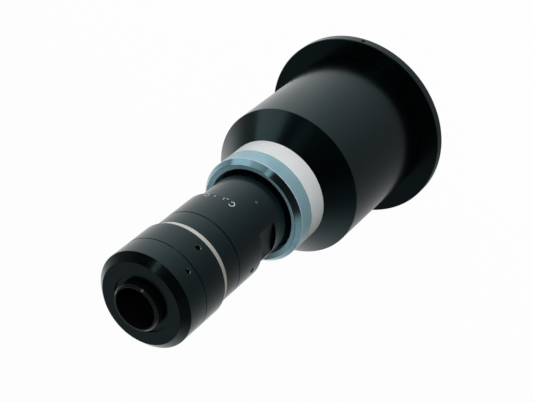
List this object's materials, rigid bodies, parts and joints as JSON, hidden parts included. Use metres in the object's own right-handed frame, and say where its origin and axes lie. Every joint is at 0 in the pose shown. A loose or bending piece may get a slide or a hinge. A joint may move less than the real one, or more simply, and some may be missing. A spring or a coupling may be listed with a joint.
{
  "type": "bi-telecentric lens",
  "caption": "Machine-vision lens with a wide flanged objective barrel, a cone, a blue and a silver ring, a turning iris ring and a threaded camera nose.",
  "frame": {"origin": "centre of the mounting flange's front face, on which the lens stands", "axes": "+Z along the optical axis from the object side to the camera mount; +X towards the pictured side"},
  "size_m": [0.107, 0.107, 0.2172],
  "materials": {
    "black_anodised": "satin black anodised",
    "blue_anodised": "pale blue anodised, turned",
    "bare_aluminium": "bare, finely turned",
    "lens_glass": "coated optical glass",
    "black_steel": "blackened steel"
  },
  "bodies": {
    "lens_body": {"mounting_flange": "black_anodised", "flange_grub_screws": "black_steel", "objective_barrel": "black_anodised", "objective_retaining_ring": "black_anodised", "objective_crown_lens": "lens_glass", "objective_flint_lens": "lens_glass", "barrel_baffle": "black_anodised", "silver_ring": "bare_aluminium", "blue_ring": "blue_anodised", "rear_tube": "black_anodised", "field_lens": "lens_glass", "field_lens_retainer": "black_anodised", "iris_base_plate": "black_anodised", "iris_retaining_ring": "black_anodised", "collar": "black_anodised", "bare_ring": "bare_aluminium", "adjusting_sleeve": "black_anodised", "sleeve_grub_screws": "black_steel", "rear_cap": "black_anodised", "cap_grub_screws": "black_steel", "mount_nose": "black_anodised", "rear_cell": "black_anodised", "rear_flint_lens": "lens_glass", "rear_crown_lens": "lens_glass", "rear_spacer_low": "black_anodised", "rear_middle_lens": "lens_glass", "rear_spacer_top": "black_anodised", "rear_last_lens": "lens_glass", "rear_retaining_ring": "black_anodised"},
    "iris_ring": {"iris_control_ring": "black_anodised", "iris_cam_ring": "black_anodised", "iris_drive_pin": "black_steel"},
    "blade_1": {"iris_blade_1": "black_steel"},
    "blade_2": {"iris_blade_2": "black_steel"},
    "blade_3": {"iris_blade_3": "black_steel"},
    "blade_4": {"iris_blade_4": "black_steel"},
    "blade_5": {"iris_blade_5": "black_steel"},
    "blade_6": {"iris_blade_6": "black_steel"},
    "blade_7": {"iris_blade_7": "black_steel"},
    "blade_8": {"iris_blade_8": "black_steel"}
  },
  "joints": [
    {"name": "iris_turn", "type": "hinge", "parent": "lens_body", "child": "iris_ring", "pos_m": [0, 0, 0.152], "axis": [0, 0, 1], "range_deg": [-45, 15]},
    {"name": "blade_1_pivot", "type": "hinge", "parent": "lens_body", "child": "blade_1", "pos_m": [0.0112, 0, 0.1485], "axis": [0, 0, 1], "range_deg": [-22.5, 7.5]},
    {"name": "blade_2_pivot", "type": "hinge", "parent": "lens_body", "child": "blade_2", "pos_m": [0.00792, 0.00792, 0.1485], "axis": [0, 0, 1], "range_deg": [-22.5, 7.5]},
    {"name": "blade_3_pivot", "type": "hinge", "parent": "lens_body", "child": "blade_3", "pos_m": [0, 0.0112, 0.1485], "axis": [0, 0, 1], "range_deg": [-22.5, 7.5]},
    {"name": "blade_4_pivot", "type": "hinge", "parent": "lens_body", "child": "blade_4", "pos_m": [-0.00792, 0.00792, 0.1485], "axis": [0, 0, 1], "range_deg": [-22.5, 7.5]},
    {"name": "blade_5_pivot", "type": "hinge", "parent": "lens_body", "child": "blade_5", "pos_m": [-0.0112, 0, 0.1485], "axis": [0, 0, 1], "range_deg": [-22.5, 7.5]},
    {"name": "blade_6_pivot", "type": "hinge", "parent": "lens_body", "child": "blade_6", "pos_m": [-0.00792, -0.00792, 0.1485], "axis": [0, 0, 1], "range_deg": [-22.5, 7.5]},
    {"name": "blade_7_pivot", "type": "hinge", "parent": "lens_body", "child": "blade_7", "pos_m": [0, -0.0112, 0.1485], "axis": [0, 0, 1], "range_deg": [-22.5, 7.5]},
    {"name": "blade_8_pivot", "type": "hinge", "parent": "lens_body", "child": "blade_8", "pos_m": [0.00792, -0.00792, 0.1485], "axis": [0, 0, 1], "range_deg": [-22.5, 7.5]}
  ],
  "couplings": [
    {"joint": "blade_1_pivot", "follows": "iris_turn", "ratio": 0.5},
    {"joint": "blade_2_pivot", "follows": "iris_turn", "ratio": 0.5},
    {"joint": "blade_3_pivot", "follows": "iris_turn", "ratio": 0.5},
    {"joint": "blade_4_pivot", "follows": "iris_turn", "ratio": 0.5},
    {"joint": "blade_5_pivot", "follows": "iris_turn", "ratio": 0.5},
    {"joint": "blade_6_pivot", "follows": "iris_turn", "ratio": 0.5},
    {"joint": "blade_7_pivot", "follows": "iris_turn", "ratio": 0.5},
    {"joint": "blade_8_pivot", "follows": "iris_turn", "ratio": 0.5}
  ]
}
